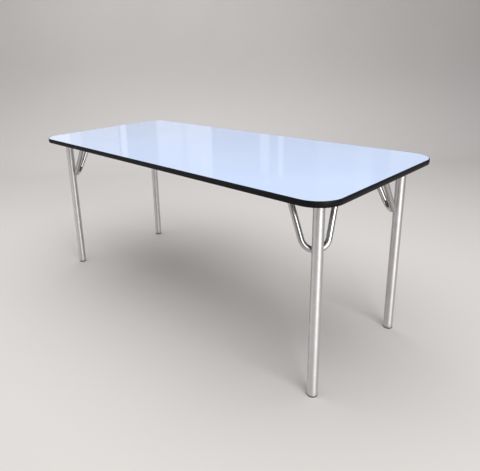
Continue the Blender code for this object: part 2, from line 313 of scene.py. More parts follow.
def makeBlackEdging(look):
    finish = Finish("blackPlasticEdging", look)
    # lines left by the die run along the edging, so they change with height only
    dieLines = finish.noise("dieLines")
    rubs = finish.noise("rubs").between(0.56, 0.78)
    dust = finish.noise("dust").between(0.3, 0.8)
    color = finish.mix(rubs * 0.45 + dieLines.between(0.5, 0.8) * 0.15, look["black"], look["worn"])
    roughness = look["roughness"] + rubs * 0.16 + dust * 0.05 + dieLines * 0.05
    normal = finish.bump(dieLines, look["dieDepth"])
    normal = finish.bump(finish.noise("grain"), look["grainDepth"], 0.8, normal)
    return finish.surface(Base_Color=color, Roughness=roughness, Normal=normal,
                          Specular_IOR_Level=look["shine"])


tubeLook = {
    "steel": (0.75, 0.74, 0.745),
    "shade": (0.62, 0.61, 0.60),
    "clouds": (24.0, 4.0, 0.6),
    "roughness": 0.43,
    "brushing": 0.74,
    "brushingTurn": 0.25,  # the belt's lines run round the tube, so the shine spreads along it
    "rings": (1.0, 4.0, 0.65, (9.0, 9.0, 2600.0)),
    "streaks": (1.0, 3.0, 0.6, (240.0, 240.0, 5.0)),
    "lineDepth": 0.0000035,
    "prints": (55.0, 3.0, 0.5, (1.0, 1.0, 0.5)),
    "pitColor": (0.20, 0.18, 0.17),
    "pitScale": 650.0,
    "pitRadius": 0.10,  # share of a cell
}


def makeSatinTube(look):
    finish = Finish("satinSteelTube", look)
    unrolled = finish.attribute("tubePlace")
    # a polishing belt leaves fine rings round the tube and a few long streaks
    rings = finish.noise("rings", unrolled)
    streaks = finish.noise("streaks", unrolled)
    prints = finish.noise("prints", unrolled)
    clouds = finish.noise("clouds", unrolled).between(0.25, 0.75)
    pits = finish.cells(look["pitScale"], unrolled).below(look["pitRadius"])
    color = finish.mix(clouds * 0.45 + streaks * 0.25, look["steel"], look["shade"])
    color = finish.mix(pits * 0.5, color, look["pitColor"])
    roughness = look["roughness"] + rings * 0.06 + streaks * 0.05 + prints.between(0.58, 0.75) * 0.07
    normal = finish.bump(rings, look["lineDepth"])
    normal = finish.bump(streaks, look["lineDepth"], 0.6, normal)
    return finish.surface(Base_Color=color, Metallic=1.0, Roughness=roughness, Normal=normal,
                          Anisotropic=look["brushing"], Anisotropic_Rotation=look["brushingTurn"])


braceLook = {
    "bright": (0.50, 0.50, 0.495),
    "dull": (0.38, 0.375, 0.37),
    "clouds": (40.0, 3.0, 0.55),
    "roughness": 0.09,
    "rings": (1.0, 3.0, 0.6, (12.0, 12.0, 1500.0)),
    "ringDepth": 0.000003,
    "streaks": (1.0, 3.0, 0.6, (420.0, 420.0, 6.0)),
    "streakDepth": 0.000004,
    "rubs": (160.0, 3.0, 0.6, (1.0, 1.0, 0.2)),
}


def makeBrightTube(look):
    finish = Finish("brightBentTube", look)
    unrolled = finish.attribute("tubePlace")
    rings = finish.noise("rings", unrolled)
    streaks = finish.noise("streaks", unrolled)
    # the bending die rubs the tube duller over the bend
    rubs = finish.noise("rubs", unrolled)
    rubs = rubs.between(0.45, 0.7) * finish.attribute("bendShare", "Fac")
    clouds = finish.noise("clouds", unrolled)
    color = finish.mix(clouds * 0.3 + rubs * 0.5, look["bright"], look["dull"])
    roughness = look["roughness"] + streaks * 0.06 + rubs * 0.12 + rings * 0.03
    normal = finish.bump(rings, look["ringDepth"])
    normal = finish.bump(streaks, look["streakDepth"], 0.7, normal)
    return finish.surface(Base_Color=color, Metallic=1.0, Roughness=roughness, Normal=normal)


plateLook = {
    "dark": (0.30, 0.295, 0.29),
    "light": (0.46, 0.455, 0.45),
    "millScale": (30.0, 5.0, 0.65),
    "millScaleDepth": 0.00003,
    "grain": (1.0, 3.0, 0.6, (30.0, 700.0, 30.0)),
    "grainDepth": 0.00001,
    "roughness": 0.34,
    "stainColor": (0.16, 0.13, 0.11),
    "stainScale": 160.0,
    "stainRims": (700.0, 3.0, 0.6),
    "stainPatches": (45.0, 2.0, 0.5),
}


def makePlateSteel(look):
    finish = Finish("rolledSteelPlate", look)
    millScale = finish.noise("millScale")
    grain = finish.noise("grain")
    # small stains with soft, ragged rims, and only here and there
    ragged = finish.cells(look["stainScale"]) + finish.noise("stainRims") * 0.30
    patches = finish.noise("stainPatches").between(0.45, 0.65)
    stains = (1.0 - ragged.between(0.20, 0.36)) * patches
    color = finish.mix(millScale.between(0.3, 0.7), look["dark"], look["light"])
    color = finish.mix(stains * 0.5, color, look["stainColor"])
    roughness = look["roughness"] + millScale * 0.18 + grain * 0.08
    normal = finish.bump(grain, look["grainDepth"])
    normal = finish.bump(millScale, look["millScaleDepth"], 0.5, normal)
    return finish.surface(Base_Color=color, Metallic=1.0, Roughness=roughness, Normal=normal)


weldLook = {
    "heatTints": [(0.30, (0.20, 0.19, 0.20)), (0.48, (0.36, 0.33, 0.29)),
                  (0.60, (0.44, 0.38, 0.27)), (0.75, (0.26, 0.27, 0.36))],
    "tinting": (140.0, 3.0, 0.55),
    "slag": (900.0, 3.0, 0.6),
    "slagDepth": 0.00008,
    "roughness": 0.30,
}


def makeWeldMetal(look):
    finish = Finish("weldMetal", look)
    color = finish.ramp(finish.noise("tinting"), look["heatTints"])
    slag = finish.noise("slag")
    return finish.surface(Base_Color=color, Metallic=1.0, Roughness=look["roughness"] + slag * 0.25,
                          Normal=finish.bump(slag, look["slagDepth"]))


screwLook = {
    "zinc": (0.56, 0.57, 0.60),
    "bloomColor": (0.66, 0.62, 0.50),
    "bloom": (260.0, 3.0, 0.6),
    "toolMarks": (2400.0, 2.0, 0.5),
    "toolDepth": 0.000006,
    "roughness": 0.24,
}


def makeZincScrew(look):
    finish = Finish("zincPlatedScrew", look)
    bloom = finish.noise("bloom")
    color = finish.mix(bloom.between(0.35, 0.7), look["zinc"], look["bloomColor"])
    return finish.surface(Base_Color=color, Metallic=1.0, Roughness=look["roughness"] + bloom * 0.16,
                          Normal=finish.bump(finish.noise("toolMarks"), look["toolDepth"]))


plugLook = {
    "black": (0.014, 0.014, 0.0145),
    "worn": (0.085, 0.082, 0.078),
    "grain": (1600.0, 3.0, 0.6),
    "grainDepth": 0.00003,
    "rubs": (120.0, 4.0, 0.65),
    "floorWear": (0.0002, 0.0022),  # heights of full wear and of none
    "roughness": 0.42,
}


def makePlugPlastic(look):
    finish = Finish("blackPlugPlastic", look)
    grain = finish.noise("grain")
    rubs = finish.noise("rubs").between(0.5, 0.75)
    floorWear = 1.0 - finish.height().between(*look["floorWear"])
    worn = (rubs * 0.4 + floorWear * 0.5).clamped()
    color = finish.mix(worn, look["black"], look["worn"])
    roughness = look["roughness"] + grain * 0.12 + worn * 0.2
    return finish.surface(Base_Color=color, Roughness=roughness,
                          Normal=finish.bump(grain, look["grainDepth"]))


materials = {
    "laminate": makeBlueLaminate(laminateLook),
    "backing": makeBackingPaper(backingLook),
    "board": makeParticleBoard(boardLook),
    "edging": makeBlackEdging(edgingLook),
    "leg": makeSatinTube(tubeLook),
    "brace": makeBrightTube(braceLook),
    "plate": makePlateSteel(plateLook),
    "weld": makeWeldMetal(weldLook),
    "screw": makeZincScrew(screwLook),
    "plug": makePlugPlastic(plugLook),
}
print("materials made:", len(materials))


# mesh helpers

def addObject(name, data):
    item = bpy.data.objects.new(name, data)
    bpy.context.scene.collection.objects.link(item)
    return item


def asPiece(item, angle, material, nodes=()):
    # a finished piece on the table's one body, its edges sharp above the angle
    smooth(item.data, angle)
    item.data.materials.clear()
    item.data.materials.append(materials[material])
    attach(item, bodyName)
    if nodes:
        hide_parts(*nodes)


def smooth(mesh, angle):
    mesh.shade_smooth()
    mesh.set_sharp_from_angle(angle=radians(angle))


def asMesh(shape, name):
    mesh = bpy.data.meshes.new(name)
    shape.to_mesh(mesh)
    shape.free()
    return mesh


def evaluated(item):
    # what the object shows, modifiers included, as a plain mesh
    bpy.context.view_layer.update()
    shown = item.evaluated_get(bpy.context.evaluated_depsgraph_get())
    return bpy.data.meshes.new_from_object(shown)


def fixNormals(mesh, seam=0.000002):
    # merges what lies closer than the seam and turns the faces outward
    shape = bmesh.new()
    shape.from_mesh(mesh)
    bmesh.ops.remove_doubles(shape, verts=shape.verts, dist=seam)
    bmesh.ops.dissolve_degenerate(shape, dist=seam, edges=shape.edges)
    bmesh.ops.recalc_face_normals(shape, faces=shape.faces)
    shape.to_mesh(mesh)
    shape.free()


def circle(x, y, radius, sides):
    turns = [2 * pi * index / sides for index in range(sides)]
    return [(x + radius * cos(turn), y + radius * sin(turn)) for turn in turns]


def roundedEdge(x, z, radius, first, last, steps):
    # points of a small arc about (x, z) between two angles, for profiles and sections
    turns = [radians(first + (last - first) * step / steps) for step in range(steps + 1)]
    return [(x + radius * cos(turn), z + radius * sin(turn)) for turn in turns]


def roundedOutline(points, radius, segments):
    # counter-clockwise polygon with each corner replaced by an arc
    outline = []
    for index, point in enumerate(points):
        corner = Vector(point)
        before = (Vector(points[index - 1]) - corner).normalized()
        after = (Vector(points[(index + 1) % len(points)]) - corner).normalized()
        half = before.angle(after) / 2
        center = corner + (before + after).normalized() * radius / sin(half)
        start = corner + before * radius * cos(half) / sin(half) - center
        first = atan2(start.y, start.x)
        for step in range(segments + 1):
            turn = first + (pi - 2 * half) * step / segments
            outline.append((center.x + radius * cos(turn), center.y + radius * sin(turn)))
    return outline


def turned(profile, sides, center):
    # a profile of (radius, height) that runs down its outer side, turned about an upright axis
    shape = bmesh.new()
    rings = []
    for radius, height in profile:
        if radius == 0.0:
            rings.append([shape.verts.new((center[0], center[1], height))])
        else:
            rings.append([shape.verts.new((x, y, height)) for x, y in circle(*center, radius, sides)])
    for upper, lower in zip(rings[:-1], rings[1:]):
        for side in range(sides):
            following = (side + 1) % sides
            around = [upper[side % len(upper)], lower[side % len(lower)],
                      lower[following % len(lower)], upper[following % len(upper)]]
            corners = []
            for vertex in around:
                if vertex not in corners:
                    corners.append(vertex)
            if len(corners) > 2:
                shape.faces.new(corners)
    bmesh.ops.recalc_face_normals(shape, faces=shape.faces)
    return asMesh(shape, "turned")


# flat sheets, for the top and the mounting plates

sheetShape = {
    "seam": 0.00001,
    "straightWithin": 0.001,  # radians between two edges that count as one
    "bevelSteps": 3,
    "bevelFrom": 50,  # degrees
    # below the bevel's 15 degree steps, or its normals would curve the reflections in the flat face
    "smoothAngle": 8,
}


def flatPiece(name, outlines, low, high, bevel):
    # a flat sheet between two heights: first outline its edge, the others holes
    data = bpy.data.curves.new(name, "CURVE")
    data.dimensions = "2D"
    data.fill_mode = "BOTH"
    data.extrude = (high - low) / 2
    for outline in outlines:
        spline = data.splines.new("POLY")
        spline.points.add(len(outline) - 1)
        for target, (x, y) in zip(spline.points, outline):
            target.co = (x, y, 0.0, 1.0)
        spline.use_cyclic_u = True
    curve = addObject(name + "Outline", data)
    mesh = evaluated(curve)
    bpy.data.objects.remove(curve, do_unlink=True)
    mesh.transform(Matrix.Translation((0, 0, (low + high) / 2)))
    shape = bmesh.new()
    shape.from_mesh(mesh)
    bmesh.ops.remove_doubles(shape, verts=shape.verts, dist=sheetShape["seam"])
    bmesh.ops.recalc_face_normals(shape, faces=shape.faces)
    bmesh.ops.dissolve_limit(shape, angle_limit=sheetShape["straightWithin"],
                             verts=shape.verts, edges=shape.edges)
    item = addObject(name, asMesh(shape, name))
    if bevel:
        edge = item.modifiers.new("edge", "BEVEL")
        edge.width = bevel
        edge.segments = sheetShape["bevelSteps"]
        edge.limit_method = "ANGLE"
        edge.angle_limit = radians(sheetShape["bevelFrom"])
        done = evaluated(item)
        item.modifiers.clear()
        item.data = done
    return item


# top

topShape = {
    "cornerRadius": 0.095,  # in plan, at the outside of the edging
    "cornerSegments": 40,
    "laminateEdge": 0.00035,  # rounding of the sheet's trimmed edge
    "screwHole": 0.0023,  # radius
    "screwHoleSides": 20,
}

laminateLow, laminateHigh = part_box("top_laminate")
backingLow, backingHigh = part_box("backing_sheet")
bandLow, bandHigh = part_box("edge_band")
sheetRadius = topShape["cornerRadius"] - (bandHigh.x - laminateHigh.x)


def sheetOutline(low, high):
    points = [(low.x, low.y), (high.x, low.y), (high.x, high.y), (low.x, high.y)]
    return roundedOutline(points, sheetRadius, topShape["cornerSegments"])


def screwPlaces():
    # middle of each screw, in plan
    boxes = [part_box(name) for name in screwNames]
    return [((low.x + high.x) / 2, (low.y + high.y) / 2) for low, high in boxes]


def buildTop(shape):
    outline = sheetOutline(laminateLow, laminateHigh)
    sheet = flatPiece("topLaminate", [outline], laminateLow.z, laminateHigh.z, shape["laminateEdge"])
    asPiece(sheet, sheetShape["smoothAngle"], "laminate", ["top_laminate"])
    outline = sheetOutline(backingLow, backingHigh)
    holes = [circle(x, y, shape["screwHole"], shape["screwHoleSides"]) for x, y in screwPlaces()]
    backing = flatPiece("backingSheet", [outline, *holes], backingLow.z, backingHigh.z, 0.0)
    asPiece(backing, sheetShape["smoothAngle"], "backing", ["backing_sheet"])
    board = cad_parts["board_core"]
    board.data.materials.clear()
    board.data.materials.append(materials["board"])


buildTop(topShape)
print("top built")


# geometry node helpers

def socketKind(value):
    kinds = {int: "Int", float: "Float", bpy.types.Object: "Object", bpy.types.Material: "Material"}
    return "NodeSocket" + next(kinds[kind] for kind in kinds if isinstance(value, kind))


def grow(item, build, values):
    # the build's tree, with a named input for each value, runs on the item, whose mesh it replaces
    group = bpy.data.node_groups.new(build.__name__, "GeometryNodeTree")
    sockets = group.interface
    sockets.new_socket(name="Geometry", in_out="INPUT", socket_type="NodeSocketGeometry")
    for label, value in values.items():
        sockets.new_socket(name=label, in_out="INPUT", socket_type=socketKind(value))
    sockets.new_socket(name="Geometry", in_out="OUTPUT", socket_type="NodeSocketGeometry")
    nodes = NodeTree(group)
    start = nodes.add("NodeGroupInput")
    # realized and finished, because loose instances and bare faces aren't kept
    real = nodes.add("GeometryNodeRealizeInstances", {"Geometry": build(nodes, start)})
    colored = nodes.add("GeometryNodeSetMaterial", {
        "Geometry": real, "Material": start.value("Material")})
    nodes.add("NodeGroupOutput", {"Geometry": colored})
    modifier = item.modifiers.new(group.name, "NODES")
    modifier.node_group = group
    for socket in sockets.items_tree:
        if socket.in_out == "INPUT" and socket.name in values:
            modifier[socket.identifier] = values[socket.name]
    mesh = evaluated(item)
    item.modifiers.clear()
    item.data = mesh


def chainMesh(name, chains):
    # edges through points, for the trees to turn into curves; each chain is its points and if it closes
    points, edges = [], []
    for chain, closed in chains:
        first = len(points)
        points += [tuple(point) for point in chain]
        edges += [(first + index, first + index + 1) for index in range(len(chain) - 1)]
        if closed:
            edges.append((first + len(chain) - 1, first))
    mesh = bpy.data.meshes.new(name)
    mesh.from_pydata(points, edges, [])
    return mesh


# edging, its section swept round the top by geometry nodes

edgingShape = {
    "crown": 0.0012,
    "crownPoints": 12,
    "thickness": 0.0030,
    "play": 0.0003,  # between the edging and the board
    "edgeRadius": 0.0007,
    "edgeSteps": 4,
    "tongueDepth": 0.0100,
    "tongueThickness": 0.0016,
    "tongueTip": 0.5,  # share of the thickness
    "barb": 0.0005,
    "barbStarts": (0.3, 0.6),  # shares of the depth, on each side of the tongue
    "barbLength": 0.25,  # share of the depth
    "smoothAngle": 40,
}


def edgingSection(shape, halfHeight):
    # distance out from the board's edge, and height about the middle
    back = shape["play"]
    shoulder = back + shape["thickness"] - shape["crown"]
    edge = shape["edgeRadius"]
    flatHalf = halfHeight - edge
    face = []
    for step in range(shape["crownPoints"] + 1):
        share = 1 - 2 * step / shape["crownPoints"]
        face.append((shoulder + shape["crown"] * (1 - share * share), flatHalf * share))
    upper = roundedEdge(shoulder - edge, flatHalf, edge, 90, 15, shape["edgeSteps"])
    lower = [(x, -z) for x, z in reversed(upper)]
    half = shape["tongueThickness"] / 2
    depth = shape["tongueDepth"]
    points = [(back, halfHeight), *upper, *face, *lower, (back, -halfHeight), (back, -half)]
    side = []
    for start in shape["barbStarts"]:
        end = start + shape["barbLength"]
        side += [(-start * depth, half), (-start * depth, half + shape["barb"]), (-end * depth, half)]
    side += [(-depth, half * shape["tongueTip"])]
    points += [(x, -z) for x, z in side]
    points += list(reversed(side))
    points.append((back, half))
    return points


def sweptEdging(nodes, start):
    plan = nodes.add("GeometryNodeCurvePrimitiveQuadrilateral", {
        "Width": start.value("Length"), "Height": start.value("Width")})
    rounded = nodes.add("GeometryNodeFilletCurve", {
        "Curve": plan, "Radius": start.value("Corner Radius"),
        "Count": start.value("Corner Points")}, mode="POLY")
    upright = nodes.add("GeometryNodeSetCurveNormal", {"Curve": rounded}, mode="Z_UP")
    section = nodes.add("GeometryNodeObjectInfo", {"Object": start.value("Section")})
    profile = nodes.add("GeometryNodeMeshToCurve", {"Mesh": section.value("Geometry")})
    swept = nodes.add("GeometryNodeCurveToMesh", {"Curve": upright, "Profile Curve": profile})
    lift = nodes.add("ShaderNodeCombineXYZ", {"Z": start.value("Height")})
    return nodes.add("GeometryNodeSetPosition", {"Geometry": swept, "Offset": lift})


def buildEdging(shape):
    outline = [(x, z, 0) for x, z in edgingSection(shape, (bandHigh.z - bandLow.z) / 2)]
    section = addObject("edgingSection", chainMesh("edgingSection", [(outline, True)]))
    item = addObject("edgeBand", bpy.data.meshes.new("edgeBand"))
    grow(item, sweptEdging, {
        "Length": laminateHigh.x - laminateLow.x, "Width": laminateHigh.y - laminateLow.y,
        "Corner Radius": sheetRadius, "Corner Points": topShape["cornerSegments"],
        "Height": (bandHigh.z + bandLow.z) / 2, "Section": section, "Material": materials["edging"]})
    bpy.data.objects.remove(section, do_unlink=True)
    fixNormals(item.data)
    asPiece(item, shape["smoothAngle"], "edging", ["edge_band"])


buildEdging(edgingShape)
print("edging built")


# legs and braces: tubes swept along a path, with their place on the straight tube kept

legShape = {
    "diameter": 0.0381,
    "wall": 0.0015,
    "sides": 96,
    "deburr": 0.0004,
    "rings": 40,
    "innerEvery": 8,  # the inside has a ring for so many of the outside
    "smoothAngle": 50,
}

braceShape = {
    "diameter": 0.0222,
    "wall": 0.0012,
    "sides": 48,
    "bendSteps": 56,
    "armSteps": 14,
    "drop": 0.1895,  # from the plate down to the lowest centreline
    "bendRadius": 0.0475,
    "topReach": 0.1075,  # from the leg's axis to the middle of the two ends
    "topSpread": 0.0845,  # half the distance between the ends
    "play": 0.0003,
    "flattening": 0.035,  # how much the bend draws the outer side in
    "fade": 0.25,  # share of the half bend over which the flattening ends
    "smoothAngle": 50,
}


def cornerFrame(corner):
    # the foot of the leg's axis, and the inward diagonal
    low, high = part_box("leg_tube_" + corner)
    x, y = (low.x + high.x) / 2, (low.y + high.y) / 2
    inward = Vector((-1 if x > 0 else 1, -1 if y > 0 else 1, 0)).normalized()
    return Vector((x, y, 0)), inward


def sweptTube(name, rings):
    # rings of (point, place on the straight tube, bend share), the last joined to the first
    shape = bmesh.new()
    placeLayer = shape.verts.layers.float_vector.new("tubePlace")
    bendLayer = shape.verts.layers.float.new("bendShare")
    made = []
    for ring in rings:
        row = []
        for point, place, bend in ring:
            vertex = shape.verts.new(point)
            vertex[placeLayer] = place
            vertex[bendLayer] = bend
            row.append(vertex)
        made.append(row)
    for first, second in zip(made, made[1:] + made[:1]):
        for side in range(len(first)):
            following = (side + 1) % len(first)
            shape.faces.new([first[side], first[following], second[following], second[side]])
    bmesh.ops.recalc_face_normals(shape, faces=shape.faces)
    return asMesh(shape, name)


def legMesh(shape, corner):
    axis = cornerFrame(corner)[0]
    low, high = (end.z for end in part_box("leg_tube_" + corner))
    radius = shape["diameter"] / 2
    inner = radius - shape["wall"]
    small = shape["deburr"]
    steps = shape["rings"]
    heights = [low + small + (high - low - 2 * small) * step / steps for step in range(steps + 1)]
    profile = [(radius - small, low)] + [(radius, height) for height in heights]
    profile += [(radius - small, high), (inner + small * 0.5, high)]
    profile += [(inner, height) for height in reversed(heights[::shape["innerEvery"]])]
    profile += [(inner + small * 0.5, low)]
    # so that no two legs are marked alike
    shift = Vector((axis.x * 3.7, axis.y * 5.1, axis.x + axis.y))
    rings = []
    for distance, height in profile:
        ring = []
        for x, y in circle(0, 0, distance, shape["sides"]):
            local = Vector((x, y, height))
            ring.append((axis + local, local + shift, 0.0))
        rings.append(ring)
    return sweptTube("legTube", rings)


def bracePath(shape, rise):
    # centreline in the leaning plane: (across, up the plane, run along the tube, bend share)
    offset = legShape["diameter"] / 2 + shape["diameter"] / 2 + shape["play"]
    lean = atan2(shape["topReach"] - offset, rise)
    height = hypot(shape["topReach"] - offset, rise)
    bend = shape["bendRadius"]
    spread = shape["topSpread"]
    tangent = atan2(height - bend, spread) - acos(bend / hypot(spread, height - bend))
    side = []
    half = shape["bendSteps"] // 2
    for step in range(half + 1):
        turn = -pi / 2 + (tangent + pi / 2) * step / half
        fade = min(1.0, (half - step) / (shape["fade"] * half))
        side.append((bend * cos(turn), bend * (1 + sin(turn)), bend * (turn + pi / 2), fade))
    x, y, run, _ = side[-1]
    length = hypot(spread - x, height - y)
    for step in range(1, shape["armSteps"] + 1):
        share = step / shape["armSteps"]
        side.append((x + (spread - x) * share, y + (height - y) * share, run + length * share, 0.0))
    points = [(-x, y, -run, fade) for x, y, run, fade in reversed(side[1:])] + side
    return points, lean, offset


def braceFrame(shape, corner):
    # a brace's path, the directions of its leaning plane and its heights
    axis, inward = cornerFrame(corner)
    across = Vector((-inward.y, inward.x, 0))
    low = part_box("mounting_plate_" + corner)[0].z - shape["drop"]
    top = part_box("leg_tube_" + corner)[1].z
    points, lean, offset = bracePath(shape, top - low)
    slope = inward * sin(lean) + upward * cos(lean)
    square = inward * cos(lean) - upward * sin(lean)  # to the brace's plane
    start = axis + inward * offset + upward * low
    centers = [start + across * x + slope * y for x, y, *_ in points]
    return {"axis": axis, "inward": inward, "across": across, "square": square, "offset": offset,
            "low": low, "top": top, "points": points, "centers": centers}


def braceMesh(shape, corner):
    place = braceFrame(shape, corner)
    axis, square, centers = place["axis"], place["square"], place["centers"]
    radius = shape["diameter"] / 2
    rings = []
    for skin in (radius, radius - shape["wall"]):
        rows = []
        for index, (center, (*_, run, bend)) in enumerate(zip(centers, place["points"])):
            before = centers[max(0, index - 1)]
            after = centers[min(len(centers) - 1, index + 1)]
            along = (after - before).normalized()
            side = along.cross(square).normalized()
            ring = []
            for step in range(shape["sides"]):
                turn = 2 * pi * step / shape["sides"]
                squeeze = 1 - shape["flattening"] * bend * max(0.0, cos(turn)) ** 2
                point = center + side * skin * squeeze * cos(turn) + square * skin * sin(turn)
                if index in (0, len(centers) - 1):
                    point = point + along * (place["top"] - point.z) / along.z
                unrolled = (skin * cos(turn) + axis.x, skin * sin(turn) + axis.y, run)
                ring.append((point, unrolled, bend))
            rows.append(ring)
        rings += rows if skin == radius else list(reversed(rows))
    return sweptTube("braceTube", rings)


def buildLegs():
    for corner in cornerNames:
        leg = addObject("legTube_" + corner, legMesh(legShape, corner))
        asPiece(leg, legShape["smoothAngle"], "leg", ["leg_tube_" + corner])
        brace = addObject("braceTube_" + corner, braceMesh(braceShape, corner))
        asPiece(brace, braceShape["smoothAngle"], "brace", ["brace_" + corner])


buildLegs()
print("legs and braces built")


# end plugs

plugShape = {
    "flange": 0.0045,
    "rimRadius": 0.0004,  # where the flange meets the tube
    "edgeRadius": 0.0012,  # at the floor
    "ribs": 5,
    "ribHeight": 0.0007,
    "ribSlopes": (0.55, 0.68, 0.72),  # where slope, crest and rib end, as shares of the pitch
    "ribsStart": 0.0020,  # below the stem's top
    "stemLength": 0.0240,
    "stemWall": 0.0020,
    "cupRadius": 0.0010,
    "cupLip": 0.0003,
    "stemLip": 0.0009,
    "play": 0.0003,
    "footRecess": 0.0006,
    "footRing": 0.0105,  # radius of the shallow moulded recess underneath
    "gate": (0.0022, 0.0018),  # radii of the moulding gate's mark in the middle of the recess
    "gateRecess": 0.4,  # share of the recess
    "sides": 96,
    "smoothAngle": 40,
}


def plugMesh(shape, axis):
    outer = legShape["diameter"] / 2
    ribRadius = outer - legShape["wall"] - shape["play"]
    stem = ribRadius - shape["ribHeight"]
    cup = stem - shape["stemWall"]
    flange, edge, small, lip = shape["flange"], shape["edgeRadius"], shape["cupRadius"], shape["cupLip"]
    top = flange + shape["stemLength"]
    profile = [(0.0, flange), *roundedEdge(cup - small, flange + small, small, -90, 0, 3)]
    profile += [(cup, top - lip), (cup + lip, top), (stem - shape["stemLip"], top)]
    pitch = (shape["stemLength"] - 2 * shape["ribsStart"]) / shape["ribs"]
    slope, crest, end = shape["ribSlopes"]
    for rib in range(shape["ribs"]):
        high = top - shape["ribsStart"] - rib * pitch
        profile += [(stem, high), (ribRadius, high - slope * pitch), (ribRadius, high - crest * pitch)]
        profile += [(stem, high - end * pitch)]
    rim = shape["rimRadius"]
    profile += [(stem, flange), (outer - rim, flange)]
    profile += roundedEdge(outer - rim, flange - rim, rim, 90, 0, 3)[1:]
    profile += roundedEdge(outer - edge, edge, edge, 0, -90, 8)
    ring, recess = shape["footRing"], shape["footRecess"]
    outerGate, innerGate = shape["gate"]
    profile += [(ring + recess, 0.0), (ring, recess), (outerGate, recess)]
    profile += [(innerGate, recess * shape["gateRecess"]), (0.0, recess * shape["gateRecess"])]
    return turned(profile, shape["sides"], (axis.x, axis.y))


def buildPlugs(shape):
    for corner in cornerNames:
        plug = addObject("footPlug_" + corner, plugMesh(shape, cornerFrame(corner)[0]))
        asPiece(plug, shape["smoothAngle"], "plug", ["foot_plug_" + corner])


buildPlugs(plugShape)
print("plugs built")


# mounting plates

plateShape = {
    "cornerRadius": 0.0080,
    "cornerSteps": 12,
    "bevel": 0.0004,
    "holeRadius": 0.0023,
    "holeSides": 24,
}


def plateOutline(corner):
    # the plate's five corners, read off its box and its screws
    axis, inward = cornerFrame(corner)
    low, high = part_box("mounting_plate_" + corner)
    sideX, sideY = (1 if inward.x > 0 else -1), (1 if inward.y > 0 else -1)
    back = low.x - axis.x if sideX > 0 else axis.x - high.x
    reach = high.x - axis.x if sideX > 0 else axis.x - low.x
    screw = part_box("plate_screw_%s_2" % corner)
    middle = (screw[0] + screw[1]) / 2 - axis
    edgeDistance = reach - max(abs(middle.x), abs(middle.y))
    tip = min(abs(middle.x), abs(middle.y)) + edgeDistance
    points = [(back, back), (reach, back), (reach, tip), (tip, reach), (back, reach)]
    placed = [(axis.x + sideX * x, axis.y + sideY * y) for x, y in points]
    return placed if sideX * sideY > 0 else list(reversed(placed))


def buildPlates(shape):
    holes = [circle(x, y, shape["holeRadius"], shape["holeSides"]) for x, y in screwPlaces()]
    for index, corner in enumerate(cornerNames):
        low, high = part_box("mounting_plate_" + corner)
        outline = roundedOutline(plateOutline(corner), shape["cornerRadius"], shape["cornerSteps"])
        own = holes[screwsPerPlate * index:screwsPerPlate * (index + 1)]
        plate = flatPiece("mountingPlate_" + corner, [outline, *own], low.z, high.z, shape["bevel"])
        asPiece(plate, sheetShape["smoothAngle"], "plate", ["mounting_plate_" + corner])


buildPlates(plateShape)
print("plates built")


# welds: a rippled bead along each joint of a leg, its brace and its plate

weldShape = {
    "beadRadius": 0.0022,
    "pitch": 0.0021,
    "ripple": 0.16,
    "step": 0.0004,
    "sides": 8,
    "below": 0.0003,  # the bead's middle under the plate
    "outside": 0.0002,  # and off the tube
    "legPoints": 48,
    "armPoints": 36,
    "lifts": (-0.0046, 0.0054),  # above and below where the two round skins touch
    "crevicePoints": 17,
    "creviceStep": 0.0011,
    "smoothAngle": 60,
}


def weldBeads(nodes, start):
    lines = nodes.add("GeometryNodeMeshToCurve", {"Mesh": start.value("Geometry")})
    even = nodes.add("GeometryNodeResampleCurve", {
        "Curve": lines, "Length": start.value("Step")}, mode="LENGTH")
    run = nodes.add("GeometryNodeSplineParameter").value("Length")
    wave = (run / start.value("Pitch")).math("FRACT")  # each ripple rises and drops back
    size = start.value("Bead Radius") * (1.0 + start.value("Ripple") * (wave - 0.5))
    sized = nodes.add("GeometryNodeSetCurveRadius", {"Curve": even, "Radius": size})
    section = nodes.add("GeometryNodeCurvePrimitiveCircle", {
        "Resolution": start.value("Sides"), "Radius": 1.0})
    return nodes.add("GeometryNodeCurveToMesh", {
        "Curve": sized, "Profile Curve": section, "Scale": size, "Fill Caps": True})


def plateWelds(shape, corner):
    # closed chains at the plate, round the leg and round both arms of its brace
    place = braceFrame(braceShape, corner)
    height = place["top"] - shape["below"]
    around = circle(0, 0, legShape["diameter"] / 2 + shape["outside"], shape["legPoints"])
    chains = [[place["axis"] + Vector((x, y, height)) for x, y in around]]
    for end, inner in ((0, 1), (-1, -2)):
        tip = place["centers"][end]
        along = (tip - place["centers"][inner]).normalized()
        side = along.cross(place["square"]).normalized()
        ring = []
        for x, y in circle(0, 0, braceShape["diameter"] / 2 + shape["outside"], shape["armPoints"]):
            point = tip + side * x + place["square"] * y
            ring.append(point + along * (height - point.z) / along.z)
        chains.append(ring)
    return chains


def creviceWelds(shape, corner):
    # open chains in the crevice between leg and brace
    place = braceFrame(braceShape, corner)
    bend = braceShape["bendRadius"]
    legRadius, braceRadius = legShape["diameter"] / 2, braceShape["diameter"] / 2
    chains = []
    for lift in shape["lifts"]:
        braceSkin = place["offset"] - sqrt(braceRadius ** 2 - lift ** 2)
        row = []
        for step in range(shape["crevicePoints"]):
            x = shape["creviceStep"] * (step - shape["crevicePoints"] // 2)
            height = place["low"] + (bend - sqrt(bend ** 2 - x * x)) + lift
            reach = (sqrt(legRadius ** 2 - x * x) + braceSkin) / 2
            row.append(place["axis"] + place["inward"] * reach + place["across"] * x + upward * height)
        chains.append(row)
    return chains


